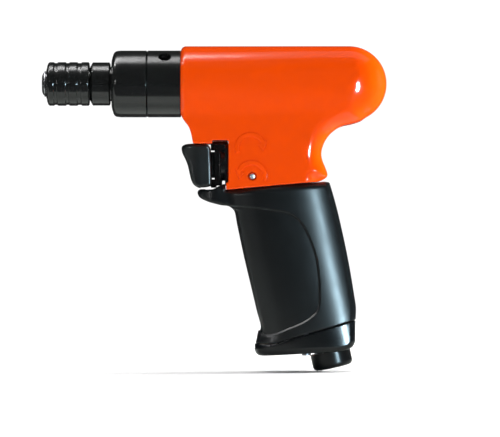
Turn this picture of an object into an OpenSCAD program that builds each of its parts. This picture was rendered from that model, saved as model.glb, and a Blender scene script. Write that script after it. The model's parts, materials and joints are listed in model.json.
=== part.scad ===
// Reversible pistol-grip pneumatic tool: quick-change chuck, adjustable ball clutch,
// two planetary stages, vane motor, throttle and reverse valves, and handle.
// The spindle axis is the X axis, the chuck mouth is at x = 0 and the nose points to -X.

/* [Chuck] */
// Across flats of the hex bit socket
hex_af = 6.5; // [6.4:0.05:6.6]
// Depth of the hex bit socket
hex_depth = 22; // [20:0.5:23]
// Outer radius of the sliding sleeve's rings
sleeve_r = 11.1; // [10.9:0.1:11.5]
// Travel of the sleeve before the ball is free
sleeve_travel = 3.5; // [3:0.1:3.5]
// Radius of the ball that holds the bit
detent_r = 2.0; // [1.9:0.05:2]

/* [Barrel] */
// Outer radius of the nose and clutch housings
barrel_r = 17; // [16.8:0.1:17.2]
// Radius of the clutch key hole
key_hole_r = 3.3; // [3:0.1:3.4]
// Angle of the clutch key hole above the side
key_hole_angle = 52; // [45:1:60]

/* [Gears] */
// Backlash taken off each tooth
backlash = 0.1; // [0.08:0.01:0.12]
// Radius of the pins that carry the planets
pin_r = 1.5; // [1.4:0.05:1.5]

/* [Motor] */
// Radius of the rotor
rotor_r = 10.8; // [10.6:0.1:10.8]
// Length of the rotor
rotor_len = 49.8; // [49:0.1:49.8]
// Number of rotor vanes
vane_count = 5; // [4:1:5]

/* [Housing] */
// Radius of the round top of the motor housing
body_r = 19.2; // [19:0.1:19.4]
// Half width of the web between motor and handle, at its front
web_front = 14.5; // [14:0.1:15]
// Half width of the web at its rear
web_rear = 17.6; // [17:0.1:17.8]
// Half width of the trigger
trigger_half_w = 10; // [9.8:0.1:10.4]

/* [Handle] */
// Radius of the air inlet thread
inlet_r = 5.6; // [5.5:0.05:5.7]
// Half width of the grip
grip_half_w = 17.5; // [17:0.5:18]

/* [Hidden] */
$fn = 96;
eps = 0.05;
gap = 0.03;

// Places along the spindle axis
sleeve_x0 = 2.2;
sleeve_x1 = 24.2;
tube_r = 6.4;
core_r = 7.4;
core_x = 16.1;
collar_x0 = 24.5;
collar_x1 = 34.9;
detent_x = 11.8;
nose_x0 = 35.7;
seam_x = 53.7;
housing_x0 = 70.9;
front_bearing_x = 38.7;
flange_x0 = 46.4;
flange_x1 = 49.75;
clutch_ball_r = 2.2;
clutch_ball_ring = 9.5;
cam_x0 = 50.95;
cam_x1 = 53.6;
washer_x0 = 60.5;
washer_x1 = 61.3;
nut_x0 = 61.35;
nut_x1 = 65.4;
gear_bearing_x = 68;
ring_x0 = 75.5;
ring_x1 = 90.5;
plate_x0 = 91.1;
plate_x1 = 96.6;
cylinder_x0 = 96.7;
cylinder_x1 = cylinder_x0 + rotor_len + 0.2;
rear_plate_x1 = cylinder_x1 + 5.6;
bore_x1 = 154;
bore_pocket_x1 = 164;
motor_r = 15.8;
liner_r = 12.2;
liner_shift = liner_r - rotor_r - 0.1;

// Gear sizes. The teeth of the sun and ring add up to a multiple of three, so three planets fit.
gear_m = 0.6;
sun_teeth = 12;
planet_teeth = 15;
ring_teeth = sun_teeth + 2 * planet_teeth;
gear_centre = (sun_teeth + planet_teeth) * gear_m / 2;
pressure_angle = 20;
addendum = 0.8 * gear_m;
dedendum = 1.1 * gear_m;
planet_bore = pin_r + 0.05;
carrier_r = 11.2;

// Valve train, on an axis parallel to the spindle
valve_z = -41.3;
stem_r = 2.8;
valve_r = 7;
valve_sleeve_r = 8.2;
valve_x0 = 95.6;
valve_x1 = 116;
seat_x1 = 118.6;
throttle_x1 = 123.4;
chamber_x1 = 134;
port_x = [102, 111.5];
port_angle = 22;
exhaust_x = 120;
exhaust_y = 11.4;
pin_x = 107.3;
pin_z = -47.3;
reverse_pin_r = 1.5;
lever_reach = 12.1;

// The web widens evenly between these two places
taper_x0 = 75;
taper_x1 = 135;
taper = atan((web_rear - web_front) / (taper_x1 - taper_x0));
pin_end = web_front + (pin_x - taper_x0) * tan(taper) - 0.7;

// Handle frame: origin at the centre of the inlet's lower face, +Z up the handle
inlet_at = [148.7, 0, -144.5];
handle_tilt = 12.5;
core_gap = 17;
core_rear_r = 10;
core_front_r = 8;
core_z0 = 14;
core_z1 = 104;
flange_h = 8.6;
spigot_r = 8;

// ---- helpers ----

module x_prism(x0, x1) translate([x0, 0, 0]) rotate([90, 0, 90]) linear_extrude(x1 - x0) children();

module x_cyl(x0, x1, r) translate([x0, 0, 0]) rotate([0, 90, 0]) cylinder(h = x1 - x0, r = r);

module x_ring(x0, x1, r_out, r_in) difference() {
    x_cyl(x0, x1, r_out);
    x_cyl(x0 - eps, x1 + eps, r_in);
}

// A turned piece about the spindle axis. Its profile's points are [x, radius].
module turned(profile) rotate([0, 90, 0]) rotate_extrude()
    polygon([for (p = profile) [p[1], p[0]]]);

module around_x(angle) rotate([angle, 0, 0]) children();

module on_valve_axis() translate([0, 0, valve_z]) children();

// A round way out of the valve, at an angle from straight up
module port(x, angle, length) translate([x, 0, valve_z]) rotate([angle, 0, 0])
    cylinder(h = length, r = 1.7);

module side_plate(width) rotate([90, 0, 0]) linear_extrude(width, center = true) children();

module in_handle() translate(inlet_at) rotate([0, -handle_tilt, 0]) children();

// Points of an arc about c, in degrees
function arc(c, r, a0, a1, n) = [for (i = [0:n]) let (a = a0 + (a1 - a0) * i / n) c + r * [cos(a), sin(a)]];

// Points of a quadratic curve from a to c that leans on b
function bend(a, b, c, n) = [for (i = [0:n])
    let (t = i / n) (1 - t) * (1 - t) * a + 2 * t * (1 - t) * b + t * t * c];

function superellipse(a, b, power, n) = [for (i = [0:n - 1]) let (t = 360 * i / n, c = cos(t), s = sin(t))
    [a * sign(c) * pow(abs(c), 2 / power), b * sign(s) * pow(abs(s), 2 / power)]];

// A round wire swept along a helix about the spindle axis, with closed ends
module helix_spring(x0, x1, mean_r, wire_r, turns) {
    steps = 20 * turns;
    sides = 8;
    span = x1 - x0 - 2 * wire_r;
    points = [for (i = [0:steps], k = [0:sides - 1])
        let (a = 360 * turns * i / steps, b = 360 * k / sides, r = mean_r + wire_r * cos(b))
        [x0 + wire_r + span * i / steps + wire_r * sin(b), r * cos(a), r * sin(a)]];
    walls = [for (i = [0:steps - 1], k = [0:sides - 1]) let (n = (k + 1) % sides)
        each [[i * sides + k, i * sides + n, (i + 1) * sides + n],
              [i * sides + k, (i + 1) * sides + n, (i + 1) * sides + k]]];
    ends = concat([[for (k = [0:sides - 1]) sides - 1 - k]], [[for (k = [0:sides - 1]) steps * sides + k]]);
    polyhedron(points = points, faces = concat(walls, ends));
}

// ---- gears ----

function inv_deg(a) = tan(a) * 180 / PI - a;

// Half the angle that a tooth takes up at radius r
function tooth_half(teeth, r, slack) =
    let (rp = teeth * gear_m / 2, rb = rp * cos(pressure_angle), a = acos(min(1, rb / max(r, rb))))
    90 / teeth - slack / rp * 90 / PI + inv_deg(pressure_angle) - inv_deg(a);

// One side of a tooth, from its root at k = 0 to its tip at k = 3
function flank(teeth, r_root, r_tip, slack, mid, side, order) = [for (k = order)
    let (r = r_root + (r_tip - r_root) * k / 3, a = mid + side * tooth_half(teeth, r, slack))
    r * [cos(a), sin(a)]];

function tooth_outline(teeth, r_root, r_tip, slack) = [for (i = [0:teeth - 1])
    let (mid = 360 * i / teeth)
    each concat(flank(teeth, r_root, r_tip, slack, mid, -1, [0:3]),
        flank(teeth, r_root, r_tip, slack, mid, 1, [3:-1:0]))];

module gear_2d(teeth) let (rp = teeth * gear_m / 2)
    polygon(tooth_outline(teeth, rp - dedendum, rp + addendum, backlash));

// The space that an internal gear's teeth leave
module ring_space_2d() let (rp = ring_teeth * gear_m / 2)
    polygon(tooth_outline(ring_teeth, rp - addendum, rp + dedendum, -backlash));

// A planet at one of three places, turned so that a tooth fills the sun's space
module planet(x0, x1, index) let (at = 120 * index)
    x_prism(x0, x1) translate(gear_centre * [cos(at), sin(at)]) difference() {
        rotate(at + 180 - 180 / planet_teeth) gear_2d(planet_teeth);
        circle(planet_bore);
    }

// The pins that carry three planets
module pins(x0, x1) for (i = [0:2]) around_x(120 * i) translate([0, gear_centre, 0]) x_cyl(x0, x1, pin_r);

// ---- bearings ----

module bearing_race(x0, w, r_out, r_in, groove_r, ball_ring) difference() {
    x_ring(x0, x0 + w, r_out, r_in);
    translate([x0 + w / 2, 0, 0]) rotate([0, 90, 0]) rotate_extrude()
        translate([ball_ring, 0]) circle(groove_r);
}

module bearing_outer(x0, w, r_out, ball_ring, ball_r)
    bearing_race(x0, w, r_out, ball_ring + 0.55 * ball_r, ball_r + 0.06, ball_ring);

module bearing_inner(x0, w, r_in, ball_ring, ball_r)
    bearing_race(x0, w, ball_ring - 0.55 * ball_r, r_in, ball_r + 0.06, ball_ring);

module bearing_balls(x0, w, ball_ring, ball_r, count) for (i = [0:count - 1])
    around_x(360 * i / count) translate([x0 + w / 2, ball_ring, 0]) sphere(ball_r);

// ---- chuck ----

module output_spindle() color("dimgray") difference() {
    turned(concat(
        [[0, 0], [0.1, 3.9]], bend([0.3, 4.6], [1.1, 6.3], [2.1, tube_r], 4),
        [[core_x - 0.5, tube_r], [core_x, core_r], [44.7, core_r], [44.9, core_r - 0.2], [44.9, 7],
         [flange_x0, 7], [flange_x0 + 0.4, 12.2], [flange_x1, 12.2], [flange_x1, 0]]));
    x_prism(-1, hex_depth) circle(hex_af / 2 / cos(30), $fn = 6);
    turned([[-1, 0], [-1, 5.4], [0.8, 3.6], [0.8, 0]]);
    turned([[1.2, 5.6], [1.2, 8], [2.1, 8], [2.1, 5.6]]);
    translate([detent_x, 0, 0]) cylinder(h = 9, r = detent_r + gap);
    x_cyl(45, 51, 3.05);
    at_clutch_balls() sphere(clutch_ball_r + 0.02);
}

module chuck_collar() color("dimgray") turned([
    [collar_x0, core_r], [collar_x0, 8.2], [collar_x0 + 1.5, 11], [collar_x1 - 0.5, 11], [collar_x1, 10.4],
    [collar_x1, 8.8], [front_bearing_x, 8.8], [front_bearing_x, core_r]]);

// Four rings with three grooves between them
ring_ends = [[3.9, 6.2], [8.1, 12.3], [14.2, 18.2], [20.5, 23.7]];
module chuck_sleeve() color("dimgray") turned(concat(
    [[sleeve_x0 + 0.5, 9], [sleeve_x0 + 1.3, sleeve_r - 0.45]],
    [for (e = ring_ends) each [[e[0] - 0.25, sleeve_r - 0.45], [e[0], sleeve_r], [e[1], sleeve_r],
        [e[1] + 0.25, sleeve_r - 0.45]]],
    [[sleeve_x1, sleeve_r - 0.45], [sleeve_x1, core_r + 0.15], [core_x - 0.15, core_r + 0.15],
     [core_x - 0.15, tube_r + 1.05], [detent_x + sleeve_travel, tube_r + 1.05], [detent_x, tube_r + 0.05],
     [10.3, tube_r + 0.05], [10.3, 9]]));

module sleeve_spring() color("silver") helix_spring(4.35, 10.2, 7.75, 0.32, 2.5);

module sleeve_retainer() color("dimgray") turned([
    [2.15, tube_r + gap], [2.85, 8.85], [4.3, 8.85], [4.3, tube_r + gap]]);

// An open wire ring in the spindle's front groove
module retainer_clip() color("silver") translate([1.65, 0, 0]) rotate([0, 90, 0])
    rotate_extrude(angle = 320) translate([6.1, 0]) circle(0.42, $fn = 24);

module detent_ball() color("silver") translate([detent_x, 0, hex_af / 2 - 0.9 + detent_r]) sphere(detent_r);

// ---- nose and clutch ----

module nose_housing() color("darkslategray") turned(concat(
    [[nose_x0 - 0.3, 9.6], [nose_x0, 12.4]],
    bend([nose_x0 + 0.1, 13.4], [nose_x0 + 0.5, barrel_r], [nose_x0 + 3.6, barrel_r], 6),
    [[seam_x - 0.5, barrel_r], [seam_x - 0.1, barrel_r - 0.4], [seam_x - 0.1, 15], [58.4, 15], [58.4, 13.6],
     [46, 13.6], [46, 12], [44.85, 12], [44.85, 12.9], [43.75, 12.9], [43.75, 12],
     [front_bearing_x - gap, 12], [front_bearing_x - gap, 10.8], [36.6, 10.8], [36.6, 9.6]]));

module front_seal() color("tan") x_ring(36.65, 38.4, 10.75, 8.85);

module front_bearing_outer() color("silver") bearing_outer(front_bearing_x, 5, 11.98, 9.7, 1.2);
module front_bearing_inner() color("silver") bearing_inner(front_bearing_x, 5, core_r + 0.01, 9.7, 1.2);
module front_bearing_balls() color("silver") bearing_balls(front_bearing_x, 5, 9.7, 1.2, 13);

// A spring-steel ring with a gap and two eyes
module bearing_circlip() color("gray") difference() {
    x_ring(43.8, 44.8, 12.8, 11.1);
    translate([43, -1.6, 10]) cube([3, 3.2, 4]);
}

module at_clutch_balls() for (i = [0:5]) around_x(60 * i)
    translate([(flange_x1 + cam_x0) / 2, clutch_ball_ring, 0]) children();

module clutch_balls() color("silver") at_clutch_balls() sphere(clutch_ball_r - 0.02);

module clutch_cam() color("gray") difference() {
    x_ring(cam_x0, cam_x1, 12.2, 5.4);
    at_clutch_balls() sphere(clutch_ball_r + 0.04);
    for (i = [0:2]) around_x(120 * i) translate([cam_x0 - 1, 4.6, -1.05]) cube([6, 1.7, 2.1]);
}

module clutch_spring() color("silver") helix_spring(cam_x1 + 0.05, washer_x0 - 0.05, 9, 0.6, 2.5);

module clutch_thrust_washer() color("silver") x_ring(washer_x0, washer_x1, 11, 6.5);

// A round nut with twelve key slots around its rim
module clutch_nut() color("gray") difference() {
    x_ring(nut_x0, nut_x1, 12, 6.48);
    for (i = [0:11]) around_x(30 * i) translate([nut_x0 - 1, 10.2, -1.1]) cube([7, 3, 2.2]);
}

// The driver's nose, its splines for the cam, its thread for the nut and its hex tail
module clutch_driver() color("gray") {
    turned([
        [45.4, 0], [45.4, 2.9], [45.6, 3], [50.3, 3], [50.3, 5.3], [57.4, 5.3], [57.8, 6.4],
        [66.4, 6.4], [66.4, 5], [67.2, 5], [67.2, 0]]);
    for (i = [0:2]) around_x(120 * i) translate([50.3, 4.6, -1]) cube([7.1, 1.65, 2]);
    x_prism(67, 73.4) circle(3.9, $fn = 6);
}

module clutch_housing() color("darkslategray") difference() {
    turned([
        [seam_x + 0.1, 15.05], [seam_x + 0.1, barrel_r - 0.4], [seam_x + 0.5, barrel_r],
        [housing_x0 - 0.3, barrel_r], [housing_x0, barrel_r - 0.3], [housing_x0, 15.8], [91, 15.8],
        [91, 14.25], [74.4, 14.25], [74.4, 12.02], [gear_bearing_x - gap, 12.02],
        [gear_bearing_x - gap, 10.4], [66.9, 10.4], [66.9, 13.2], [58.5, 13.2], [58.5, 15.05]]);
    key_hole();
}

module key_hole() around_x(-key_hole_angle) translate([62.9, 0, 0]) rotate([90, 0, 0])
    translate([0, 0, 12.6]) cylinder(h = 8, r = key_hole_r);

module gear_bearing_outer() color("silver") bearing_outer(gear_bearing_x, 6, 12, 9, 1.6);
module gear_bearing_inner() color("silver") bearing_inner(gear_bearing_x, 6, 6, 9, 1.6);
module gear_bearing_balls() color("silver") bearing_balls(gear_bearing_x, 6, 9, 1.6, 9);

// ---- gear train ----

module output_carrier() color("gray") difference() {
    union() {
        x_cyl(67.8, 74.5, 5.98);
        x_cyl(74.4, 76, carrier_r);
    }
    x_prism(67, 73.6) circle(3.95, $fn = 6);
    pins(74, 77);
}

module output_planet(index) color("silver") planet(76.3, 81.1, index);
module output_planet_pins() color("gray") pins(74.5, 81.3);

module input_carrier() color("gray") difference() {
    union() {
        x_prism(76.4, 81.8) gear_2d(sun_teeth);
        x_cyl(81.7, 83.5, carrier_r);
    }
    pins(81, 84);
}

module input_planet(index) color("silver") planet(83.8, 88.6, index);
module input_planet_pins() color("gray") pins(82, 88.8);

module ring_gear() color("gray") difference() {
    x_cyl(ring_x0, ring_x1, 14.2);
    x_prism(ring_x0 - 1, ring_x1 + 1) ring_space_2d();
}

// ---- motor ----

module end_plate(x0, x1, seat_x0, seat_x1) color("gray") difference() {
    x_cyl(x0, x1, motor_r);
    x_cyl(seat_x0, seat_x1, 8.02);
    x_cyl(x0 - 1, x1 + 1, 4.6);
    translate([0, 0, -12.9]) x_cyl(x0 - 1, x1 + 1, 1.02);
}

module front_end_plate() end_plate(plate_x0, plate_x1, plate_x0 - 1, plate_x0 + 4.2);
module rear_end_plate() end_plate(cylinder_x1 + 0.1, rear_plate_x1, cylinder_x1 + 1.5, rear_plate_x1 + 1);

// The liner's bore is off centre, towards the top, and its ports open to the valve below
module motor_cylinder() color("silver") difference() {
    x_cyl(cylinder_x0, cylinder_x1, motor_r);
    translate([0, 0, liner_shift]) x_cyl(cylinder_x0 - 1, cylinder_x1 + 1, liner_r);
    translate([0, 0, -12.9]) x_cyl(cylinder_x0 - 1, cylinder_x1 + 1, 1.02);
    for (x = port_x, s = [-1, 1]) port(x, s * port_angle, 34);
    for (s = [-1, 1]) translate([exhaust_x, exhaust_y * s, -18]) cylinder(h = 12, r = 1.9);
}

module rotor() color("gray") difference() {
    union() {
        turned([[83.9, 0], [83.9, 2.9], [96.75, 2.9], [96.75, 0]]);
        x_prism(83.9, 90.2) gear_2d(sun_teeth);
        x_cyl(90.1, 96.8, 3.98);
        x_cyl(96.8, 96.8 + rotor_len, rotor_r);
        x_cyl(96.7 + rotor_len, rear_plate_x1 - 0.2, 3.98);
    }
    for (i = [0:vane_count - 1]) around_x(360 * i / vane_count + 54)
        translate([96, 5.5, -1]) cube([rotor_len + 2, 7, 2]);
}

module rotor_vanes() color("saddlebrown") for (i = [0:vane_count - 1]) around_x(360 * i / vane_count + 54)
    translate([96.85, 5.6, -0.95]) cube([rotor_len - 0.1, rotor_r - 5.65, 1.9]);

rotor_bearing_places = [plate_x0 + 0.1, cylinder_x1 + 1.6];
module rotor_bearing_outers() color("silver") for (x = rotor_bearing_places) bearing_outer(x, 4, 8, 6, 1.2);
module rotor_bearing_inners() color("silver") for (x = rotor_bearing_places) bearing_inner(x, 4, 4, 6, 1.2);
module rotor_bearing_balls() color("silver") for (x = rotor_bearing_places) bearing_balls(x, 4, 6, 1.2, 8);

module motor_dowel() color("silver") translate([0, 0, -12.9]) x_cyl(plate_x0 + 0.2, rear_plate_x1 - 0.2, 1);

module wave_washer() color("silver") x_ring(rear_plate_x1 + 0.1, bore_x1 - 0.1, 14, 10.6);

// ---- motor housing ----

// Side view of the web below the barrel, clockwise from its front
function web_outline() = concat(
    [[72.5, 0]], bend([72.5, -18.2], [76.3, -22], [77.2, -30.6], 6),
    [[87.2, -30.6], [87.2, -28.4], [95.4, -28.4], [95.4, -50.3], [93.9, -50.7]],
    bend([93.9, -53.2], [94, -54.1], [95, -54.05], 3),
    bend([140.5, -49.75], [144, -49.3], [145.4, -46.6], 5),
    bend([143, -40], [140.6, -33], [145.6, -27], 6), bend([146.6, -26], [151, -21.3], [158, -20], 5),
    [[163, -17], [160, 0]]);

// The web from above
function web_plan() = [
    [60, web_front], [taper_x0, web_front], [taper_x1, web_rear], [170, web_rear],
    [170, -web_rear], [taper_x1, -web_rear], [taper_x0, -web_front], [60, -web_front]];

module handle_core_shape(grow = 0, z0 = core_z0, z1 = core_z1) hull() {
    translate([0, 0, z0]) cylinder(h = z1 - z0, r = core_rear_r + grow, $fn = 48);
    translate([-core_gap, 0, z0]) cylinder(h = z1 - z0, r = core_front_r + grow, $fn = 48);
}

module motor_housing() color("orangered") difference() {
    union() {
        turned(concat([[housing_x0, 0], [housing_x0, 16.4]],
            bend([housing_x0, 17.6], [housing_x0 + 0.6, body_r], [housing_x0 + 3.6, body_r], 4),
            arc([156.5, 0], body_r, 90, 0, 12)));
        intersection() {
            side_plate(2 * web_rear) polygon(web_outline());
            translate([0, 0, -60]) linear_extrude(65) polygon(web_plan());
        }
        intersection() {
            in_handle() handle_core_shape();
            translate([90, -20, -150]) cube([70, 40, 125]);
        }
        for (s = [0, 1]) turn_arrow(s);
    }
    x_cyl(housing_x0 - 1, bore_x1, 15.85);
    x_cyl(bore_x1 - 1, bore_pocket_x1, 10);
    on_valve_axis() {
        x_cyl(valve_x0 - 5, seat_x1 + 0.05, valve_sleeve_r + 0.02);
        x_cyl(seat_x1, chamber_x1, 6.5);
    }
    // one feed for each direction, and two exhaust ways down beside the valve
    for (x = port_x, s = [-1, 1]) port(x, s * port_angle, 32);
    in_handle() {
        translate([0, 0, core_z0 - 1]) cylinder(h = 9.2, r = spigot_r + 0.02);
        translate([0, 0, core_z0]) cylinder(h = 90, r = 5);
        translate([-core_gap, 0, core_z0 - 1]) cylinder(h = 72, r = 5);
    }
    for (s = [-1, 1]) translate([exhaust_x, exhaust_y * s, -66]) cylinder(h = 54, r = 1.9);
    translate([pin_x, 0, pin_z]) rotate([90, 0, 0]) {
        cylinder(h = 50, r = reverse_pin_r + gap, center = true);
        translate([0, 0, pin_end]) cylinder(h = 5, r = 2.05);
    }
}

// A raised arrow for one direction of rotation, on one side of the web
arrow_at = [[106.4, -33], [107, -47.3]];
arrow_height = 0.4;
module turn_arrow(s) translate([taper_x0, -web_front, 0]) rotate([90, 0, -taper])
    translate([(arrow_at[s][0] - taper_x0) / cos(taper), arrow_at[s][1], arrow_height - 0.9])
    mirror([s, 0, 0]) linear_extrude(0.9) polygon(concat(
        arc([0, 0], 7.9, 200, 25, 16), [[8.9, 2.5], [6.6, -1.9], [4.2, 3.5]], arc([0, 0], 5.7, 25, 200, 16)));

// ---- trigger and valves ----

trigger_low = -53.1;
module trigger_outline() polygon(concat(
    bend([71.2, -32.6], [71, -30.9], [76, -30.6], 4), [[82.6, -30.75]],
    bend([83.6, -31], [84.6, -33], [85.2, -35.4], 3),
    bend([85.9, -51.4], [85.6, -53], [83, trigger_low], 4),
    bend([80, trigger_low], [76.6, -52.6], [76, -48.4], 5),
    bend([75, -43.4], [73.6, -37], [71.5, -34.2], 5)));

trigger_wall = 1.3;
// A saddle: a front pad with two side walls that pass beside the reverse lever
module trigger() color("black") difference() {
    intersection() {
        side_plate(2 * trigger_half_w) trigger_outline();
        translate([81.2, 0, -60]) linear_extrude(40) polygon(superellipse(10.4, trigger_half_w, 2.6, 48));
    }
    translate([81, trigger_wall - trigger_half_w, -60])
        cube([10, 2 * (trigger_half_w - trigger_wall), 40]);
    on_valve_axis() x_cyl(77, 82, 2.2);
}

module trigger_stem() color("silver") on_valve_axis() difference() {
    union() {
        x_cyl(77.05, 82, 2.18);
        x_cyl(81.03, 117.2, stem_r);
        x_cyl(117.1, 118.5, 2);
    }
    for (x = [98, 113]) turned([[x, 2.1], [x, 4], [x + 1.6, 4], [x + 1.6, 2.1]]);
}

// A rocker behind the trigger, with a finger wing above and below and a boss in front
module reverse_lever() color("black") difference() {
    intersection() {
        union() {
            translate([87.5, -5, -51.8]) cube([4.6, 10, 19]);
            translate([87.5, -5, -34]) cube([7.6, 10, 6]);
            on_valve_axis() x_cyl(91.9, 95.1, 8.2);
            on_valve_axis() x_cyl(85.8, 87.6, 4.4);
        }
        on_valve_axis() x_cyl(85, 96, lever_reach);
    }
    on_valve_axis() x_cyl(85, 96, stem_r + 0.05);
    on_valve_axis() x_prism(90.4, 96) circle(5.05, $fn = 6);
}

module reverse_valve() color("silver") on_valve_axis() difference() {
    union() {
        x_prism(90.5, valve_x0) circle(5, $fn = 6);
        x_cyl(valve_x0 - 0.1, valve_x1, valve_r);
    }
    x_cyl(88, valve_x1 + 1, stem_r + 0.05);
    for (x = port_x) translate([x, 0, 0]) cylinder(h = 9, r = 1.7);
    reverse_slot();
}

// The slot that the reverse pin runs in. Its ends stop the valve at each end of its swing.
slot_half = 72;
module reverse_slot() rotate([0, 90, 0]) translate([0, 0, pin_x - 1.6])
    rotate([0, 0, -slot_half]) rotate_extrude(angle = 2 * slot_half) translate([4.4, 0]) square([4, 3.2]);

module valve_sleeve() color("goldenrod") difference() {
    on_valve_axis() x_ring(valve_x0 + 0.1, valve_x1, valve_sleeve_r, valve_r + gap);
    for (x = port_x, s = [-1, 1]) port(x, s * port_angle, 12);
    translate([pin_x, 0, pin_z]) rotate([90, 0, 0])
        cylinder(h = 30, r = reverse_pin_r + 2 * gap, center = true);
}

module reverse_pin() color("silver") translate([pin_x, 0, pin_z]) rotate([90, 0, 0])
    cylinder(h = 2 * pin_end, r = reverse_pin_r, center = true);

module throttle_seat() color("black") on_valve_axis() x_ring(valve_x1 + 0.15, seat_x1, valve_sleeve_r, 4);

module throttle_valve() color("goldenrod") on_valve_axis() turned([
    [seat_x1 + 0.02, 0], [seat_x1 + 0.02, 4.9], [seat_x1 + 1.2, 5.6], [121, 5.6], [121, 2.5],
    [throttle_x1, 2.5], [throttle_x1, 0]]);

module throttle_spring() color("silver") on_valve_axis() helix_spring(121.1, chamber_x1 - 0.1, 4, 0.5, 6);

// ---- handle ----

// Side view of the grip, from its top front, clockwise
seam_slope = 0.093;
function top_edge(x) = -54.35 + seam_slope * (x - 94.1);
function grip_outline() = concat(
    [[94.2, top_edge(94.2)], [144.5, top_edge(144.5)]],
    bend([146.9, -50], [158.6, -92], [160, -113], 8),
    [[159.6, -119.4], [138.2, -126.3], [125, -130.4], [117.3, -131.7], [108.4, -131.5]],
    bend([108.4, -130], [109.5, -126.5], [109.8, -123], 3),
    bend([109, -119], [104, -98.4], [98.4, -70.6], 4),
    bend([97, -65], [96.5, -62.8], [94.1, -62.3], 4));

function beak_outline() = concat(bend([79.2, -56.9], [80.4, -59], [94.1, -62.3], 5),
    [[99, -62], [99, top_edge(99)], [93.8, top_edge(93.8)], [93.8, -50.6]],
    bend([89, -50.7], [87.4, -51.6], [86.8, -53.5], 4), bend([84, -53.6], [79, -53.8], [79.2, -56.9], 5));

// The oval section of grip and cap, seen along the handle. At the foot it reaches further to the front.
foot_top = 21;
foot_reach = 2;
module grip_section(z0, z1, inset = 0) in_handle() {
    oval_prism(0, z0, z1, inset);
    oval_prism(foot_reach, z0, min(z1, foot_top), inset);
}
module oval_prism(reach, z0, z1, inset) translate([-7 - reach, 0, z0]) linear_extrude(z1 - z0)
    polygon(superellipse(27.2 + reach - inset, grip_half_w - inset, 2.5, 48));

module grip() color("black") difference() {
    union() {
        intersection() {
            side_plate(2 * grip_half_w) polygon(grip_outline());
            grip_section(-5, 115);
        }
        intersection() {
            side_plate(28) polygon(beak_outline());
            translate([92.6, 0, -70]) linear_extrude(30) polygon(superellipse(14, 14, 2.3, 40));
        }
    }
    in_handle() handle_core_shape(0.03, 5, 100);
    for (s = [-1, 1]) in_handle() translate([-8.5, exhaust_y * s, 5]) cylinder(h = 95, r = 2.2);
    translate([84, -trigger_half_w - 0.5, trigger_low - 0.8]) cube([9.8, 2 * trigger_half_w + 1, 5]);
    at_screws(-140) cylinder(h = 22, r = 1.25);
}

// The two screws that tie the cap to the grip, at each side of the inlet
screw_at = [134.6, 12.6];
screw_seat_z = -136.85;
module at_screws(z) for (s = [-1, 1]) translate([screw_at[0], screw_at[1] * s, z]) children();

// Side view of the cap, from the front of its seam, clockwise
function cap_outline() = concat(
    [[108.3, -131.8], [117.3, -132], [125, -130.7], [138.2, -126.6], [159.5, -119.7]],
    bend([159.4, -130], [159.3, -135.4], [152, -136], 5), [[147.7, -136.4], [111.4, -138.2]],
    bend([110, -138.2], [108.3, -137.8], [108.3, -136], 3));

wall = 2.4;
module exhaust_cap() color("black") difference() {
    intersection() {
        side_plate(2 * grip_half_w) polygon(cap_outline());
        grip_section(-5, 55);
    }
    difference() {
        intersection() {
            grip_section(-5, 55, wall);
            translate([100, -20, -133.9]) cube([44, 40, 20]);
        }
        in_handle() handle_core_shape(wall, -10, 60);
        at_screws(-140) cylinder(h = 22, r = 3.6);
    }
    in_handle() {
        handle_core_shape(0.05, 13, 60);
        translate([0, 0, 0]) cylinder(h = 20, r = spigot_r + 0.05);
        translate([0, 0, -6]) cylinder(h = flange_h + 6, r = 10.3);
    }
    for (x = [115:3.2:121.4]) translate([x, -6, -140]) cube([1.6, 12, 8]);
    at_screws(-140) cylinder(h = 22, r = 1.5);
    at_screws(screw_seat_z - 3) cylinder(h = 3.02, r = 2.4);
}

module cap_screws() color("silver") at_screws(screw_seat_z - 1.1) {
    difference() {
        cylinder(h = 1.1, r = 2.3);
        translate([0, 0, -1]) cylinder(h = 1.8, r = 1.3, $fn = 6);
    }
    translate([0, 0, 1.05]) cylinder(h = 17, r = 1.2);
}

// A felt block in the front of the cap, over the vents
module muffler() color("tan") difference() {
    intersection() {
        translate([111, -9, -133.85]) cube([13, 18, 1.8]);
        grip_section(-5, 55, wall + 0.1);
    }
    in_handle() handle_core_shape(wall + 0.1, -10, 60);
}

thread_z1 = 13;
module inlet_bushing() color("black") in_handle() difference() {
    rotate_extrude() polygon(concat([[0, 0]], arc([7.75, 2.5], 2.5, -90, 0, 6),
        [[10.25, flange_h - 0.02], [spigot_r, flange_h - 0.02], [spigot_r, 22], [0, 22]]));
    translate([0, 0, -1]) cylinder(h = thread_z1 + 1, r = inlet_r);
    translate([0, 0, thread_z1 - 1]) cylinder(h = 2, r = inlet_r - 0.4);
    translate([0, 0, thread_z1]) cylinder(h = 10, r = 4.2);
    translate([0, 0, -0.5]) cylinder(h = 1.5, r1 = 7.2, r2 = inlet_r - 0.1);
}

module inlet_screen() color("silver") in_handle() translate([0, 0, thread_z1]) difference() {
    translate([0, 0, 0.3]) cylinder(h = 0.65, r = inlet_r - 0.43);
    for (ring = [0:2], i = [0:max(0, 6 * ring - 1)]) rotate([0, 0, ring == 0 ? 0 : 60 * i / ring])
        translate([1.7 * ring, 0, 0]) cylinder(h = 1.2, r = 0.55);
}

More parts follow.
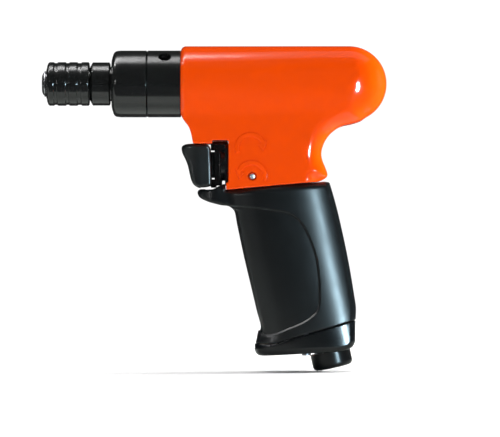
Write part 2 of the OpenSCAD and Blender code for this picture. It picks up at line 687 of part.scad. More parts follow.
output_spindle();
chuck_collar();
chuck_sleeve();
sleeve_spring();
sleeve_retainer();
retainer_clip();
detent_ball();
nose_housing();
front_seal();
front_bearing_outer();
front_bearing_inner();
front_bearing_balls();
bearing_circlip();
clutch_balls();
clutch_cam();
clutch_spring();
clutch_thrust_washer();
clutch_nut();
clutch_driver();
clutch_housing();
gear_bearing_outer();
gear_bearing_inner();
gear_bearing_balls();
output_carrier();
output_planet(0);  // output_planet_1
output_planet(1);  // output_planet_2
output_planet(2);  // output_planet_3
output_planet_pins();
input_carrier();
input_planet(0);  // input_planet_1
input_planet(1);  // input_planet_2
input_planet(2);  // input_planet_3
input_planet_pins();
ring_gear();
front_end_plate();
motor_cylinder();
rotor();
rotor_vanes();
rear_end_plate();
rotor_bearing_outers();
rotor_bearing_inners();
rotor_bearing_balls();
motor_dowel();
wave_washer();
motor_housing();
trigger();
trigger_stem();
reverse_lever();
reverse_valve();
valve_sleeve();
reverse_pin();
throttle_seat();
throttle_valve();
throttle_spring();
grip();
exhaust_cap();
cap_screws();
muffler();
inlet_bushing();
inlet_screen();
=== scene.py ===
"""A reversible pistol-grip pneumatic tool: smooth housing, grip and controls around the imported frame."""
import json
import math

import bpy
import numpy as np
import openvdb
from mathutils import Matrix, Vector


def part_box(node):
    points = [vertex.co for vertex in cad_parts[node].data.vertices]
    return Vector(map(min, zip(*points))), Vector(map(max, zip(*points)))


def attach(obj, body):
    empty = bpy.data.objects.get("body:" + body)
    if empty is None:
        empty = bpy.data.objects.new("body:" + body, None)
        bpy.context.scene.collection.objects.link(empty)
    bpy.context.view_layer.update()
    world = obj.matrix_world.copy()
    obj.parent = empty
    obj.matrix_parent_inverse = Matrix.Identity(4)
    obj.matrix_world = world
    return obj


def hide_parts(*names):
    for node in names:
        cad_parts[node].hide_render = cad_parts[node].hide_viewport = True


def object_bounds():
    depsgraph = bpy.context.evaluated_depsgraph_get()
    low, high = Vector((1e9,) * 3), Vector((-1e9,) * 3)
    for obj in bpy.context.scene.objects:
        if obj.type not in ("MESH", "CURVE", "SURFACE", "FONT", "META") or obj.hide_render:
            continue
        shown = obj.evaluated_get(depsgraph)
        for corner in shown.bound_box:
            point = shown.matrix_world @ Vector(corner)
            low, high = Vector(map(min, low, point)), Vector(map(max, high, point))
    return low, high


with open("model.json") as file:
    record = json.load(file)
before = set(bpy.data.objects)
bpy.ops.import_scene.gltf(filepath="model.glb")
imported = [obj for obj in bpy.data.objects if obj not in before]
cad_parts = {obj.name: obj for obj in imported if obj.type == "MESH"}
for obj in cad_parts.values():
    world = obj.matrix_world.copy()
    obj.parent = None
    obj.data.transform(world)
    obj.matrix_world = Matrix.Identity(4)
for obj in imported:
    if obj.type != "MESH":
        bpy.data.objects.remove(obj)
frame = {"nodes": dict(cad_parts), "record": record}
cad_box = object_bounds()
MM = 0.001


def box_mm(node):
    """A CAD node's lowest and highest corners in millimetres."""
    return [np.array(corner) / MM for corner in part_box(node)]


# ---- places read from the frame, in millimetres ----

housing_low, housing_high = box_mm("motor_housing")
FRONT = housing_low[0]                     # front face of the orange housing
BODY_R = housing_high[2]                   # radius of its round top
DOME_X = housing_high[0] - BODY_R          # where the top turns into the rear dome
BARREL_R = box_mm("nose_housing")[1][2]
VALVE_Z = float(np.mean([c[2] for c in box_mm("reverse_valve")]))
STEM_R = float(np.ptp([c[2] for c in box_mm("trigger_stem")])) / 2
PIN_X, PIN_Z = (float(np.mean([c[k] for c in box_mm("reverse_pin")])) for k in (0, 2))
HANDLE_TILT = math.radians(12.5)
INLET = (148.7, -144.5)                    # x and z of the inlet's lower face on the handle axis
SEAM_SLOPE = 0.0885                        # rise of the seam between housing and grip


# ---- shapes as distance fields, negative inside, in millimetres ----

def both(a, b, r=0.5):
    """The part that two shapes share, with an edge of radius r between them."""
    return np.minimum(np.maximum(a, b), -r) + np.hypot(np.maximum(a + r, 0), np.maximum(b + r, 0))


def less(a, b, r=0.5):
    """Shape a without shape b."""
    return both(a, -b, r)


def either(a, b, blend=1.0):
    """Both shapes, with a soft fillet about as wide as blend."""
    h = np.maximum(blend - np.abs(a - b), 0) / blend
    return np.minimum(a, b) - h * h * blend / 4


def ramp(value, start, end):
    """0 before start, 1 after end, and smooth between them."""
    t = np.clip((value - start) / (end - start), 0, 1)
    return t * t * (3 - 2 * t)


def curve(*points, steps=10):
    """A smooth open curve through the points."""
    p = np.array(points, float)
    p = np.vstack([2 * p[0] - p[1], p, 2 * p[-1] - p[-2]])
    out = []
    for a, b, c, d in zip(p, p[1:], p[2:], p[3:]):
        for t in np.arange(steps) / steps:
            bend = (2 * a - 5 * b + 4 * c - d) * t ** 2 + (3 * b - a - 3 * c + d) * t ** 3
            out.append(0.5 * (2 * b + (c - a) * t + bend))
    return [tuple(q) for q in out] + [tuple(p[-2])]


def arc(cx, cz, r, start, end, steps=24):
    """Points of an arc, with angles in degrees."""
    angles = np.radians(np.linspace(start, end, steps + 1))
    return [(cx + r * math.cos(t), cz + r * math.sin(t)) for t in angles]


class Outline:
    """A closed side outline as a smooth distance field, kept on a fine grid."""

    def __init__(self, points, soften=0.4, margin=14, step=0.25):
        self.step = step
        p = np.array(points, float)
        self.low = p.min(0) - margin
        self.count = np.ceil((p.max(0) + margin - self.low) / self.step).astype(int) + 1
        u = self.low[0] + self.step * np.arange(self.count[0])[:, None]
        v = self.low[1] + self.step * np.arange(self.count[1])[None, :]
        nearest = np.full(self.count, 1e9)
        inside = np.zeros(self.count, bool)
        for a, b in zip(p, np.roll(p, -1, 0)):
            e = b - a
            du, dv = u - a[0], v - a[1]
            t = np.clip((du * e[0] + dv * e[1]) / max(e @ e, 1e-12), 0, 1)
            nearest = np.minimum(nearest, (du - t * e[0]) ** 2 + (dv - t * e[1]) ** 2)
            if a[1] != b[1]:
                inside ^= ((a[1] > v) != (b[1] > v)) & (du < dv * e[0] / e[1])
        field = np.where(inside, -1, 1) * np.sqrt(nearest)
        self.field = self.smoothed(field, soften / step) if soften else field

    def smoothed(self, field, width):
        """The field after a Gaussian blur, with its width in grid steps."""
        reach = np.arange(-int(3 * width), int(3 * width) + 1)
        kernel = np.exp(-0.5 * (reach / width) ** 2)
        kernel /= kernel.sum()
        for axis in (0, 1):
            pad = [(0, 0), (0, 0)]
            pad[axis] = (len(reach) // 2, len(reach) // 2)
            wide = np.pad(field, pad, mode="edge")
            places = np.arange(self.count[axis])
            field = sum(k * np.take(wide, places + i, axis) for i, k in enumerate(kernel))
        return field

    def __call__(self, x, z):
        fx = np.clip((x - self.low[0]) / self.step, 0, self.count[0] - 1.001)
        fz = np.clip((z - self.low[1]) / self.step, 0, self.count[1] - 1.001)
        i, j = fx.astype(int), fz.astype(int)
        s, t = fx - i, fz - j
        f = self.field
        return (f[i, j] * (1 - s) * (1 - t) + f[i + 1, j] * s * (1 - t)
                + f[i, j + 1] * (1 - s) * t + f[i + 1, j + 1] * s * t)


def along_x(y, z, r, z0=0.0):
    """A round bar of radius r along X."""
    return np.hypot(y, z - z0) - r


def span(v, low, high):
    """Negative where v is between low and high."""
    return np.maximum(low - v, v - high)


def in_handle(x, z):
    """Side coordinates in the handle's own frame: across it, and up along it from the inlet."""
    c, s = math.cos(HANDLE_TILT), math.sin(HANDLE_TILT)
    return (x - INLET[0]) * c + (z - INLET[1]) * s, (z - INLET[1]) * c - (x - INLET[0]) * s


# ---- meshes ----

def new_piece(name, points, faces, body, nodes, material, normals=None):
    """A shown mesh piece, with its points in millimetres, that stands for CAD nodes and rides on a body."""
    mesh = bpy.data.meshes.new(name)
    mesh.from_pydata((np.asarray(points, float) * MM).tolist(), [], faces)
    mesh.validate()
    mesh.shade_smooth()
    if normals is not None:
        mesh.normals_split_custom_set_from_vertices(normals)
    piece = bpy.data.objects.new(name, mesh)
    bpy.context.scene.collection.objects.link(piece)
    mesh.materials.append(material)
    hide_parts(*nodes)
    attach(piece, body)
    return piece


SETTLING_STEPS = 4
SLOPE_REACH = 0.02                         # how far to each side a field is read to find its slope


def moulded(name, field, low, high, cell, body, nodes, material):
    """A piece whose surface is where the field is zero. Its points are moved onto the true surface."""
    low, high = np.array(low, float) - 2 * cell, np.array(high, float) + 2 * cell
    axes = [np.arange(a, b + cell, cell) for a, b in zip(low, high)]
    x, y, z = axes[0][:, None, None], axes[1][None, :, None], axes[2][None, None, :]
    values = np.broadcast_to(field(x, y, z), [len(a) for a in axes])
    grid = openvdb.FloatGrid(background=10.0)
    grid.copyFromArray(np.ascontiguousarray(values, dtype=np.float32))
    points, triangles, quads = grid.convertToPolygons(0.0, 0.0)
    p = points.astype(float) * cell + low

    def slope(p, h):
        return np.stack([field(*(p + h * e).T) - field(*(p - h * e).T) for e in np.eye(3)], 1) / (2 * h)

    for _ in range(SETTLING_STEPS):
        g = slope(p, SLOPE_REACH)
        f = field(*p.T)
        p -= np.clip(f / np.maximum((g * g).sum(1), 0.2), -cell, cell)[:, None] * g
    normals = slope(p, min(0.15, cell / 2))
    normals /= np.linalg.norm(normals, axis=1)[:, None]
    faces = [tuple(f) for f in triangles.tolist() + quads.tolist()]
    return new_piece(name, p, faces, body, nodes, material, normals)


def fillet_profile(profile, default=0.25, steps=5):
    """A turned profile's points with each corner rounded, and the outward direction at each point.
    A corner is (x, radius) or (x, radius, fillet)."""
    pts = [np.array(q[:2], float) for q in profile]
    radii = [q[2] if len(q) > 2 else default for q in profile]
    out, normal = [], []
    for i, p in enumerate(pts):
        if i in (0, len(pts) - 1):
            d = (pts[1] - pts[0]) if i == 0 else (pts[-1] - pts[-2])
            d /= np.linalg.norm(d)
            out.append(p)
            normal.append(np.array([-d[1], d[0]]))
            continue
        a, b = pts[i - 1] - p, pts[i + 1] - p
        la, lb = np.linalg.norm(a), np.linalg.norm(b)
        a, b = a / la, b / lb
        half = math.acos(np.clip(a @ b, -1, 1)) / 2
        if half > math.radians(88.5):
            out.append(p)
            n = b - a
            normal.append(np.array([-n[1], n[0]]) / np.linalg.norm(n))
            continue
        cut = min(radii[i] / math.tan(half), 0.48 * la, 0.48 * lb)
        r = cut * math.tan(half)
        centre = p + (a + b) / np.linalg.norm(a + b) * (r / math.sin(half))
        s, e = p + a * cut - centre, p + b * cut - centre
        turn = math.atan2(s[0] * e[1] - s[1] * e[0], s @ e)
        side = 1 if turn < 0 else -1
        for t in np.linspace(0, turn, steps):
            q = np.array([s[0] * math.cos(t) - s[1] * math.sin(t), s[0] * math.sin(t) + s[1] * math.cos(t)])
            out.append(centre + q)
            normal.append(side * q / max(r, 1e-9))
    return np.array(out), np.array(normal)


def turned(name, profile, body, nodes, material, sides=128):
    """A closed lathe piece about the X axis. Its profile runs round the section clockwise, outer side first."""
    middle = tuple((np.array(profile[0][:2]) + np.array(profile[-1][:2])) / 2)
    pts, nrm = fillet_profile([middle] + list(profile) + [middle])
    pts, nrm = pts[:-1], nrm[:-1]
    n = len(pts)
    angle = np.arange(sides) * 2 * math.pi / sides
    ring = np.stack([np.zeros(sides), np.cos(angle), np.sin(angle)], 1)
    points, normals = ((v[:, None, 0:1] * [1, 0, 0] + v[:, None, 1:2] * ring[None]).reshape(-1, 3)
                       for v in (pts, nrm))
    faces = []
    for row in range(n):
        here, after = row * sides, (row + 1) % n * sides
        for k in range(sides):
            beside = (k + 1) % sides
            faces.append((here + k, here + beside, after + beside, after + k))
    return new_piece(name, points, faces, body, nodes, material, normals)


# ---- materials ----

ROUGH_SPREAD = 0.08
TONE_SCALE, GLOSS_SCALE = 60, 180
GRAIN_DEPTH = 0.0002


def finish(name, slot_name, color, roughness, metallic=0.0, specular=0.5,
           grain=0.0, grain_scale=900.0, tone_spread=0.1, stretch=(1, 1, 1)):
    """A moulded, painted or machined finish: a little tone and gloss variation, and fine surface relief."""
    m = bpy.data.materials.new(name)
    m.use_nodes = True
    tree = m.node_tree
    shader = tree.nodes["Principled BSDF"]
    shader.inputs["Metallic"].default_value = metallic
    shader.inputs["Specular IOR Level"].default_value = specular
    place = tree.nodes.new("ShaderNodeTexCoord")
    scale = tree.nodes.new("ShaderNodeMapping")
    scale.inputs["Scale"].default_value = stretch
    tree.links.new(place.outputs["Object"], scale.inputs["Vector"])

    def noise(size, detail=3.0):
        node = tree.nodes.new("ShaderNodeTexNoise")
        node.inputs["Scale"].default_value = size
        node.inputs["Detail"].default_value = detail
        tree.links.new(scale.outputs["Vector"], node.inputs["Vector"])
        return node.outputs["Fac"]

    def spread(source, low, high):
        node = tree.nodes.new("ShaderNodeMapRange")
        node.inputs["From Min"].default_value = 0.3
        node.inputs["From Max"].default_value = 0.7
        node.inputs["To Min"].default_value = low
        node.inputs["To Max"].default_value = high
        tree.links.new(source, node.inputs["Value"])
        return node.outputs["Result"]

    tone = tree.nodes.new("ShaderNodeMix")
    tone.data_type = "RGBA"
    tone.inputs["A"].default_value = (*[c * (1 - tone_spread) for c in color], 1)
    tone.inputs["B"].default_value = (*[min(1, c * (1 + tone_spread)) for c in color], 1)
    tree.links.new(noise(TONE_SCALE), tone.inputs["Factor"])
    tree.links.new(tone.outputs["Result"], shader.inputs["Base Color"])
    gloss = spread(noise(GLOSS_SCALE), roughness * (1 - ROUGH_SPREAD), roughness * (1 + ROUGH_SPREAD))
    tree.links.new(gloss, shader.inputs["Roughness"])
    if grain:
        bump = tree.nodes.new("ShaderNodeBump")
        bump.inputs["Strength"].default_value = grain
        bump.inputs["Distance"].default_value = GRAIN_DEPTH
        tree.links.new(noise(grain_scale, 2.0), bump.inputs["Height"])
        tree.links.new(bump.outputs["Normal"], shader.inputs["Normal"])
    m["slot"] = slot_name
    return m


ORANGE = finish("orange_gloss_paint", "orange_paint", (0.9, 0.071, 0.0005), 0.09, specular=0.45,
                grain=0.045, grain_scale=420, tone_spread=0.03)
BLACK_STEEL = finish("black_oxide_steel", "black_oxide_steel", (0.007, 0.008, 0.008), 0.14, specular=0.8,
                     grain=0.04, grain_scale=600, stretch=(1, 0.15, 0.15), tone_spread=0.25)
GRIP_BLACK = finish("satin_grip_plastic", "grip_plastic", (0.0045, 0.006, 0.007), 0.31, specular=0.4,
                    tone_spread=0.15)
CAP_BLACK = finish("gloss_cap_plastic", "cap_plastic", (0.003, 0.004, 0.005), 0.2, specular=0.4,
                   grain=0.02, grain_scale=700, tone_spread=0.2)
TRIGGER_BLACK = finish("satin_trigger_plastic", "trigger_plastic", (0.007, 0.010, 0.011), 0.34, specular=0.6,
                       grain=0.06, grain_scale=1200, tone_spread=0.2)
LEVER_BLACK = finish("lever_plastic", "lever_plastic", (0.007, 0.008, 0.009), 0.2, specular=0.5,
                     grain=0.03, grain_scale=1200, tone_spread=0.2)
BRIGHT_STEEL = finish("bright_pin_steel", "pin_steel", (0.8, 0.81, 0.83), 0.42, metallic=1.0,
                      grain=0.05, grain_scale=900, tone_spread=0.08)


# ---- the orange housing ----

MOTOR_BORE, VALVE_BORE, PIN_RECESS = 15.9, 8.3, 2.15
ARROWS = {"turn_arrow_upper": (106.4, -33.0, 1),       # centre, and the side that the head is on
          "turn_arrow_lower": (107.0, -47.3, -1)}
ARROW_HEIGHT = 0.85
ARROW_OUTER, ARROW_INNER, ARROW_HEAD = 8.0, 5.6, 1.5
HEAD_FROM, HEAD_TO, TAIL = 26, -14, 200                # angles in degrees


def bottom_edge(x):
    """Height of the housing's lower edge, which slopes up to the rear."""
    return -54.05 + SEAM_SLOPE * (x - 94.1)


def housing_field():
    neck = Outline([(60, 5), (60, -70), (140, -70), (141.3, -50.1)]
                   + curve((144.7, -48.0), (145.5, -46.4), (144.4, -42.9), (143.0, -39.6), (142.3, -36.2),
                           (142.9, -32.4), (144.8, -28.3), (147.9, -24.7), (152.4, -21.6), (157.2, -20.0),
                           (161.5, -18.0))
                   + [(163, 5)], soften=0.5)
    trim = Outline([(180, 30), (60, 30), (60, -17.2), (70.3, -17.2)]
                   + curve((71.3, -17.9), (73.7, -20.2), (75.3, -22.8), (76.4, -26.2), (77.2, -30.6))
                   + [(87.0, -30.7), (87.1, -29.0), (95.2, -29.0), (95.2, -50.2), (94.1, -50.5),
                      (93.9, bottom_edge(93.9)), (180, bottom_edge(180))], soften=0.28)

    def field(x, y, z):
        # the barrel, round in front and squarer at the rear, with a dome
        power = 2.0 + 0.45 * ramp(x, 85, 150)
        over = np.maximum(x - DOME_X, 0)
        half_width = BODY_R - 0.9 * ramp(x, 80, 150)
        side = (np.abs(y / half_width) ** power + np.abs(z / BODY_R) ** power) ** (1 / power) * BODY_R
        barrel = np.hypot(side, over) - BODY_R
        # the web, a little wider to the rear, where its edges are well rounded
        half = 14.4 + 3.1 * ramp(x, 60, 150)
        edge = 0.9 + 8.4 * ramp(x, 112, 136)
        web = both(neck(x, z), np.abs(y) - half, edge)
        shape = either(barrel, web, 4.5)
        shape = both(shape, trim(x, z), 0.8)
        shape = both(shape, FRONT - x, 2.6)
        # the motor's bore, the valve's bore and the pin's recess
        shape = less(shape, both(along_x(y, z, MOTOR_BORE), x - 154, 0.3), 0.4)
        shape = less(shape, both(along_x(y, z, VALVE_BORE, VALVE_Z), x - 134, 0.3), 0.35)
        pin = np.hypot(x - PIN_X, z - PIN_Z)
        return less(shape, np.maximum(pin - PIN_RECESS, 13.4 - np.abs(y)), 0.2)

    return field


def turn_arrow(cx, cz, flip):
    """A plain round arrow: about half a turn of a band, with a pointed head."""
    start, tip = math.radians(HEAD_FROM), math.radians(HEAD_TO)
    head = [(r * math.cos(a), r * math.sin(a)) for r, a in ((ARROW_OUTER + ARROW_HEAD, start),
                                                            ((ARROW_OUTER + ARROW_INNER) / 2, tip),
                                                            (ARROW_INNER - ARROW_HEAD, start))]
    points = arc(0, 0, ARROW_OUTER, TAIL, HEAD_FROM) + head + arc(0, 0, ARROW_INNER, HEAD_FROM, TAIL)
    return [(cx + flip * px, cz + pz) for px, pz in points]


def make_arrow(name, shell, cx, cz, flip):
    """A turn arrow, raised from the housing's skin."""
    outline = Outline(turn_arrow(cx, cz, flip), soften=0.0, margin=3, step=0.1)

    def raised(x, y, z):
        skin = shell(x, y, z)
        return both(both(skin - ARROW_HEIGHT, outline(x, z), 0.5), -0.5 - skin, 0.1)

    moulded(name, raised, [cx - 9.7, -18.6, cz - 4], [cx + 9.7, -13, cz + 8.1], 0.17,
            "housing", ["motor_housing"], ORANGE)


def make_housing():
    shell = housing_field()
    moulded("housing_shell", shell, [FRONT, -BODY_R, -54.6], [DOME_X + BODY_R, BODY_R, BODY_R], 0.65,
            "housing", ["motor_housing"], ORANGE)
    for name, place in ARROWS.items():
        make_arrow(name, shell, *place)


def make_pin():
    """The pin across the web that holds the valve sleeve, with slightly domed ends."""
    low, high = box_mm("reverse_pin")
    r = (high[0] - low[0]) / 2

    def field(x, y, z):
        out = np.hypot(x - PIN_X, z - PIN_Z)
        return both(out - r, np.abs(y) - high[1] + 0.3 * (out / r) ** 2, 0.25)

    moulded("reverse_pin_shown", field, low, high, 0.25, "housing", ["reverse_pin"], BRIGHT_STEEL)


# ---- grip and cap ----

SECTION_POWER = 2.35
FOOT_REACH = 4.2                           # how much further forward the section reaches at the foot
SCOOP_DEPTH = 1.15
SEAM_GAP = 0.18


def seam_height(x):
    """Height of the seam between grip and cap: flat in front, rising to the rear."""
    return -132.2 + np.maximum(x - 117, 0) * 0.285 * ramp(x, 112, 126)


def handle_section(x, y, z, inset=0.0):
    """The handle's rounded section, seen along the handle. Its front reaches further out at the foot."""
    u, up = in_handle(x, z)
    u = u + 7.0
    front = 29.0 + FOOT_REACH * ramp(-up, -24, -17)
    a, b = np.where(u < 0, front, 30.0) - inset, 17.2 - inset
    ratio = (np.abs(u / a) ** SECTION_POWER + np.abs(y / b) ** SECTION_POWER) ** (1 / SECTION_POWER)
    return (ratio - 1) * (b + 3.0)


def core_hole(x, y, z, grow=0.1):
    """The stadium-shaped core inside the handle."""
    u, _ = in_handle(x, z)
    t = np.clip(-u / 17.0, 0, 1)
    return np.hypot(u + 17.0 * t, y) - (10.0 - 2.0 * t) - grow


def grip_field():
    side = Outline([(94.0, bottom_edge(94.0) - 0.25), (144.0, bottom_edge(144.0) - 0.25)]
                   + curve((146.6, -50.2), (148.9, -57.6), (151.0, -65.3), (153.0, -73.9), (155.0, -83.1),
                           (157.1, -94.3), (159.1, -107.0), (160.0, -113.5), (159.8, -119.6), (159.6, -126))
                   + [(159, -134), (107.9, -134)]
                   + curve((107.8, -131.6), (108.5, -128.4), (109.9, -125.6), (110.2, -122.6), (108.3, -115.8),
                           (106.2, -107.1), (104.1, -98.4), (102.0, -89.8), (100.0, -80.6), (98.2, -71.9),
                           (96.9, -65.2), (94.2, -62.6))
                   + curve((89.5, -61.4), (84.8, -60.1), (80.9, -58.2), (79.0, -56.2), (78.9, -54.6),
                           (80.6, -53.7))
                   + [(84.5, -53.6), (87.5, -53.2), (91.5, -51.3), (93.8, -50.5)], soften=0.35)
    scoop = Outline([(88, -62.2), (94.1, -62.0)]
                    + curve((104.9, -62.7), (115.6, -64.0), (123.7, -65.3), (128.2, -67.2), (131.9, -70.4),
                            (135.1, -75.8), (137.8, -82.3), (139.9, -89.3), (141.0, -98), (141.5, -105.1),
                            (141.3, -112.0), (139.1, -116.8), (132.9, -121.3), (125.1, -124.7), (118.5, -127.4),
                            (114.3, -127.9), (110.7, -125.6), (106.5, -122.0), (100, -120.5))
                    + [(88, -120.5)], soften=0.6)

    def field(x, y, z):
        # the handle, with the beak that reaches forward under the trigger
        beak = np.abs(y) - (11.5 + 5.5 * ramp(x, 80, 98))
        nose = np.hypot(np.maximum(90.0 - x, 0), y) - 11.2
        shape = both(handle_section(x, y, z), side(x, z), 3.5)
        front = both(both(side(x, z), np.maximum(beak, x - 104), 1.8), np.maximum(nose, -64.5 - z), 1.8)
        shape = either(shape, np.maximum(front, -66.5 - z), 2.0)
        shape = shape + SCOOP_DEPTH * ramp(-scoop(x, z), -0.4, 0.6)
        shape = both(shape, seam_height(x) + SEAM_GAP - z, 0.45)
        # the core, and the room that the pressed trigger needs
        shape = less(shape, np.maximum(core_hole(x, y, z), -131 - z), 0.5)
        pocket = np.maximum(np.maximum(span(x, 83.5, 95), np.abs(y) - 9.8), -53.8 - z)
        return less(shape, pocket, 0.6)

    return field


def make_grip():
    moulded("grip_sleeve", grip_field(), [78.0, -18, -134.5], [161.0, 18, -49.5], 0.55,
            "housing", ["grip"], GRIP_BLACK)


VENTS = (115.8, 119.0, 122.2)              # x of each exhaust slot


def cap_field():
    side = Outline([(159.5, -112), (159.5, -128)]
                   + curve((159.4, -131.2), (158.0, -133.6), (155.0, -135.2), (151.0, -136.1))
                   + [(147.7, -136.4), (136.7, -136.8), (113.0, -138.4)]
                   + curve((110.6, -138.3), (108.9, -137.2), (108.2, -135.4))
                   + [(107.7, -131), (107.7, -112)], soften=0.35)

    def field(x, y, z):
        shape = both(both(side(x, z), handle_section(x, y, z), 3.0), z - seam_height(x) + SEAM_GAP, 0.5)
        # hollow round the core, with bores for the inlet and the core, and the exhaust slots
        hollow = np.maximum(np.maximum(handle_section(x, y, z, 2.6), -134.2 - z), x - 143)
        hollow = np.maximum(hollow, -core_hole(x, y, z, 2.4))
        shape = less(shape, hollow, 0.4)
        u, up = in_handle(x, z)
        shape = less(shape, np.maximum(np.hypot(u, y) - 10.45, up - 8.6), 0.35)
        shape = less(shape, np.maximum(core_hole(x, y, z), 13 - up), 0.3)
        shape = less(shape, np.hypot(u, y) - 8.1, 0.3)
        for slot_x in VENTS:
            vent = np.maximum(np.hypot(np.maximum(np.abs(y) - 5.2, 0), x - slot_x) - 0.8, z + 130)
            shape = less(shape, vent, 0.25)
        return shape

    return field


def make_cap():
    moulded("exhaust_cap_shell", cap_field(), [107.5, -18, -139], [160.0, 18, -117], 0.45,
            "housing", ["exhaust_cap"], CAP_BLACK)


# ---- trigger and lever ----

TRIGGER_HALF = 9.3
TRIGGER_WALL = 1.3
PAD_REAR = 81.0                            # behind this the trigger is two side walls
LEVER_REACH = 12.0                         # the circle that the lever swings in
LEVER_HALF = 4.9


def trigger_field():
    front_to_rear = curve((71.0, -33.4), (71.3, -31.9), (73.2, -30.9), (75.7, -30.6), (79.5, -30.55),
                          (83.5, -30.7), (85.6, -31.6), (86.4, -34.0))
    rear_to_front = curve((86.9, -50.6), (86.3, -52.2), (83.1, -53.0), (79.8, -52.9), (77.5, -51.4),
                          (76.3, -49.2), (75.5, -46.3), (74.5, -41.9), (73.2, -38.5), (71.6, -35.4))
    side = Outline(front_to_rear + [(86.8, -43)] + rear_to_front, soften=0.3)
    power, widest_x, front_length = 2.2, 82.0, 12.5

    def field(x, y, z):
        # a rounded front that flares a little to the top
        flare = ramp(z, -40, -31)
        half = TRIGGER_HALF + flare
        ratio = (np.abs((x - widest_x) / front_length) ** power + np.abs(y / half) ** power) ** (1 / power)
        section = np.where(x > widest_x, np.abs(y) - half, (ratio - 1) * 9)
        shape = both(side(x, z), section, 2.0)
        inside = TRIGGER_HALF - TRIGGER_WALL + flare * 0.8
        return less(shape, np.maximum(np.abs(y) - inside, PAD_REAR - x), 0.5)

    return field


def make_trigger():
    moulded("trigger_pad", trigger_field(), [70.5, -11, -53.5], [86.6, 11, -30], 0.32,
            "trigger", ["trigger"], TRIGGER_BLACK)


def lever_field(x, y, z):
    """The rocker behind the trigger, inside the circle that it swings in."""
    rise = z - VALVE_Z
    out = np.hypot(y, rise)
    bar = both(np.maximum(span(x, 87.5, 91.9), span(rise, -10.5, 8)), np.abs(y) - LEVER_HALF, 0.8)
    wing = both(both(span(x, 87.4, 95.0), span(rise, 7.5, 13), 0.6), np.abs(y) - LEVER_HALF, 0.8)
    hub = both(out - 8.0, span(x, 91.0, 95.0), 0.7)
    back_plate = both(both(span(x, 93.4, 95.1), np.abs(rise) - 10.6, 0.4), np.abs(y) - 8.0, 0.4)
    # painted shade: a black plate fills the gap between trigger and lever, so that the gap shows dark like the
    # shade in it
    gap_shade_plate = both(both(span(x, 86.1, 89), np.abs(rise) - 11.7, 0.5), np.abs(y) - 4.4, 0.5)
    shape = either(either(either(bar, wing, 0.8), hub, 0.8), either(back_plate, gap_shade_plate, 0.5), 0.6)
    shape = both(shape, out - LEVER_REACH, 0.7)
    grooves = np.abs(np.abs(rise) - 7.0) - 0.4
    shape = less(shape, np.maximum(grooves, x - 88.1), 0.2)
    return less(shape, out - STEM_R - 0.15, 0.3)


def make_lever():
    moulded("reverse_rocker", lever_field, [85.8, -9, VALVE_Z - 12.5], [95.5, 9, VALVE_Z + 12.5], 0.28,
            "reverse_lever", ["reverse_lever"], LEVER_BLACK)


# ---- turned pieces ----

RINGS = ((3.9, 6.3), (8.2, 12.3), (14.2, 18.2), (20.4, 23.9))   # each raised ring's start and end
RING_R, GROOVE_R = 11.12, 10.65


def make_barrel():
    nose = box_mm("nose_housing")[0][0]
    rear, spigot_end = 53.55, 58.3
    outside = [(nose + 0.2, 10.2, 0.1), (nose + 0.35, 12.6, 2.0), (nose + 1.6, BARREL_R - 0.35, 2.4),
               (nose + 5, BARREL_R, 4), (rear, BARREL_R, 0.35), (rear, 15.2), (spigot_end, 15.2)]
    inside = [(spigot_end, 13.7), (46.0, 13.7), (46.0, 12.1), (nose + 1.2, 12.1), (nose + 1.2, 9.7, 0.1),
              (nose + 0.2, 9.7, 0.1)]
    turned("nose_sleeve", outside + inside, "housing", ["nose_housing"], BLACK_STEEL)


def make_chuck():
    front = box_mm("chuck_sleeve")[0][0]
    rings = []
    for start, end in RINGS:
        rings += [(start - 0.35, GROOVE_R, 0.5), (start + 0.15, RING_R, 0.5),
                  (end - 0.15, RING_R, 0.5), (end + 0.35, GROOVE_R, 0.5)]
    rings[0] = (3.35, 10.6, 0.4)
    sleeve = [(front + 0.05, 9.05, 0.15)] + rings[:-1] + [(24.2, 10.7, 0.3), (24.2, 7.65, 0.2), (15.4, 7.6),
                                                          (11.8, 6.5), (10.3, 6.5), (10.3, 9.05)]
    turned("quick_change_sleeve", sleeve, "chuck_sleeve", ["chuck_sleeve"], BLACK_STEEL)
    collar = [(24.5, 8.2, 0.15), (26.0, 11.0, 0.3), (34.5, 11.0, 0.45), (34.9, 10.2, 0.2),
              (34.9, 8.8, 0.1), (38.6, 8.8, 0.1), (38.6, 7.45, 0.1), (24.5, 7.45, 0.1)]
    turned("shaft_collar", collar, "spindle", ["chuck_collar"], BLACK_STEEL)


# ---- the frame's own parts ----

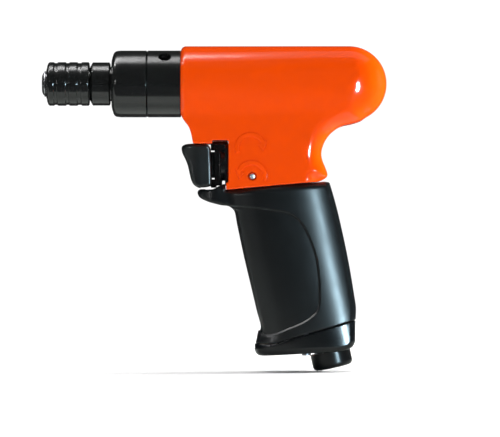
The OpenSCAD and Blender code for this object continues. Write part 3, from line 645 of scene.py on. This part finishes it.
def finish_frame_nodes():
    """Every CAD node that still shows gets the finish of its material slot."""
    shown = (ORANGE, BLACK_STEEL, GRIP_BLACK, CAP_BLACK, TRIGGER_BLACK, LEVER_BLACK, BRIGHT_STEEL)
    made = {material["slot"]: material for material in shown}
    look = {
        "spindle_steel": dict(color=(0.02, 0.022, 0.024), roughness=0.24, specular=0.8),
        "bearing_steel": dict(color=(0.62, 0.63, 0.66), roughness=0.15, metallic=1.0),
        "machined_steel": dict(color=(0.5, 0.5, 0.52), roughness=0.3, metallic=1.0),
        "gear_steel": dict(color=(0.36, 0.36, 0.38), roughness=0.35, metallic=1.0),
        "spring_steel": dict(color=(0.55, 0.55, 0.58), roughness=0.25, metallic=1.0),
        "vane_laminate": dict(color=(0.22, 0.1, 0.04), roughness=0.5),
        "valve_brass": dict(color=(0.75, 0.5, 0.18), roughness=0.25, metallic=1.0),
        "rubber": dict(color=(0.02, 0.02, 0.02), roughness=0.7),
        "felt": dict(color=(0.45, 0.4, 0.33), roughness=0.95),
        "inlet_steel": dict(color=(0.003, 0.0035, 0.004), roughness=0.3, specular=0.3),
        "screw_steel": dict(color=(0.2, 0.2, 0.22), roughness=0.3, metallic=1.0),
        "screen_steel": dict(color=(0.5, 0.5, 0.5), roughness=0.4, metallic=1.0),
    }
    for name, settings in look.items():
        made[name] = finish(name, name, grain=0.06, **settings)
    slots = {s["node"]: s["material_slot"] for s in frame["record"]["subparts"]}
    for name, node in frame["nodes"].items():
        node.data.materials.clear()
        node.data.materials.append(made[slots[name]])


# ---- stage, lights and camera ----

WHITE, PALE_BLUE = (1, 1, 1), (0.6, 0.86, 1.0)
TOOL = (0.09, 0, -0.05)                    # what most lights point at
FLOOR_X, FLOOR_Y = (-1.6, 1.8), (-1.6, 0.8)
BACKDROP_LEVEL, SURROUND_LEVEL = 1.05, 0.03


def plain_material(name, color, roughness=0.8):
    m = bpy.data.materials.new(name)
    m.use_nodes = True
    m.node_tree.nodes["Principled BSDF"].inputs["Base Color"].default_value = (*color, 1)
    m.node_tree.nodes["Principled BSDF"].inputs["Roughness"].default_value = roughness
    return m


def sheet(name, xs, ys, z, material):
    """A flat rectangle at one height."""
    mesh = bpy.data.meshes.new(name)
    corners = [(xs[0], ys[0], z), (xs[1], ys[0], z), (xs[1], ys[1], z), (xs[0], ys[1], z)]
    mesh.from_pydata(corners, [], [(0, 1, 2, 3)])
    mesh.materials.append(material)
    o = bpy.data.objects.new(name, mesh)
    bpy.context.scene.collection.objects.link(o)
    return o


def area_light(name, at, aim, size, power, color=WHITE):
    data = bpy.data.lights.new(name, "AREA")
    data.shape = "RECTANGLE"
    data.size, data.size_y = size
    data.energy = power
    data.color = color
    light = bpy.data.objects.new(name, data)
    light.location = at
    light.rotation_euler = (Vector(aim) - Vector(at)).to_track_quat("-Z", "Y").to_euler()
    bpy.context.scene.collection.objects.link(light)
    return light


def make_floor():
    """A white floor, and two cards on it that show only in reflections: dark, with grey under the tool."""
    floor_z = cad_box[0][2] - 0.0005
    sheet("floor", FLOOR_X, FLOOR_Y, floor_z, plain_material("pale_floor", (0.93, 0.93, 0.93)))
    black = plain_material("black_card", (0.004, 0.004, 0.004), 1.0)
    grey = plain_material("grey_card", (0.42, 0.45, 0.42), 1.0)
    for card in (sheet("dark_card", FLOOR_X, FLOOR_Y, floor_z + 0.001, black),
                 sheet("grey_card", (FLOOR_X[0], 0.3), (-0.15, 0.1), floor_z + 0.0015, grey)):
        card.visible_camera = card.visible_diffuse = card.visible_shadow = False


def make_surround():
    """White behind the tool, and nearly dark for everything but the camera."""
    world = bpy.data.worlds.new("studio")
    bpy.context.scene.world = world
    world.use_nodes = True
    tree = world.node_tree
    path = tree.nodes.new("ShaderNodeLightPath")
    level = tree.nodes.new("ShaderNodeMapRange")
    level.inputs["To Min"].default_value = SURROUND_LEVEL
    level.inputs["To Max"].default_value = BACKDROP_LEVEL
    tree.links.new(path.outputs["Is Camera Ray"], level.inputs["Value"])
    tree.links.new(level.outputs["Result"], tree.nodes["Background"].inputs["Strength"])
    tree.nodes["Background"].inputs["Color"].default_value = (1, 1, 1, 1)


def make_lights():
    """Lights that only shade, and lights that only shine in the gloss."""
    shading = [area_light("front_fill", (0.05, -1.6, 0.35), TOOL, (1.6, 1.2), 5.5),
               area_light("sky_fill", (0.1, 0.2, 2.6), (0.1, 0.2, 0), (5, 5), 150),
               area_light("right_side", (1.05, 0.25, 0.1), (0.15, 0, -0.05), (0.4, 0.4), 27)]
    for light in shading:
        light.visible_glossy = False
    shining = [area_light("overhead", (0.09, 0.0, 0.6), TOOL, (1.3, 0.41), 1.0),
               area_light("barrel_strip", (-0.265, 0.0, 0.6), (-0.265, 0, 0), (0.67, 0.13), 34),
               area_light("right_front", (0.70, -0.81, -0.11), (0.13, 0, -0.08), (0.09, 0.26), 16, PALE_BLUE),
               area_light("left_front", (-0.75, -0.75, 0.1), TOOL, (0.04, 0.2), 1.2)]
    for light in shining:
        light.visible_diffuse = False


def make_camera():
    data = bpy.data.cameras.new("camera")
    data.sensor_width = 36
    data.lens = 240
    camera = bpy.data.objects.new("camera", data)
    camera.location = (0.1061, -1.7, -0.0686)
    camera.rotation_euler = (math.radians(90), 0, 0)
    bpy.context.scene.collection.objects.link(camera)
    bpy.context.scene.camera = camera
    bpy.context.scene.view_settings.view_transform = "Standard"


make_camera()
make_floor()
make_surround()
make_lights()
finish_frame_nodes()
make_housing()
make_pin()
make_grip()
make_cap()
make_trigger()
make_lever()
make_barrel()
make_chuck()
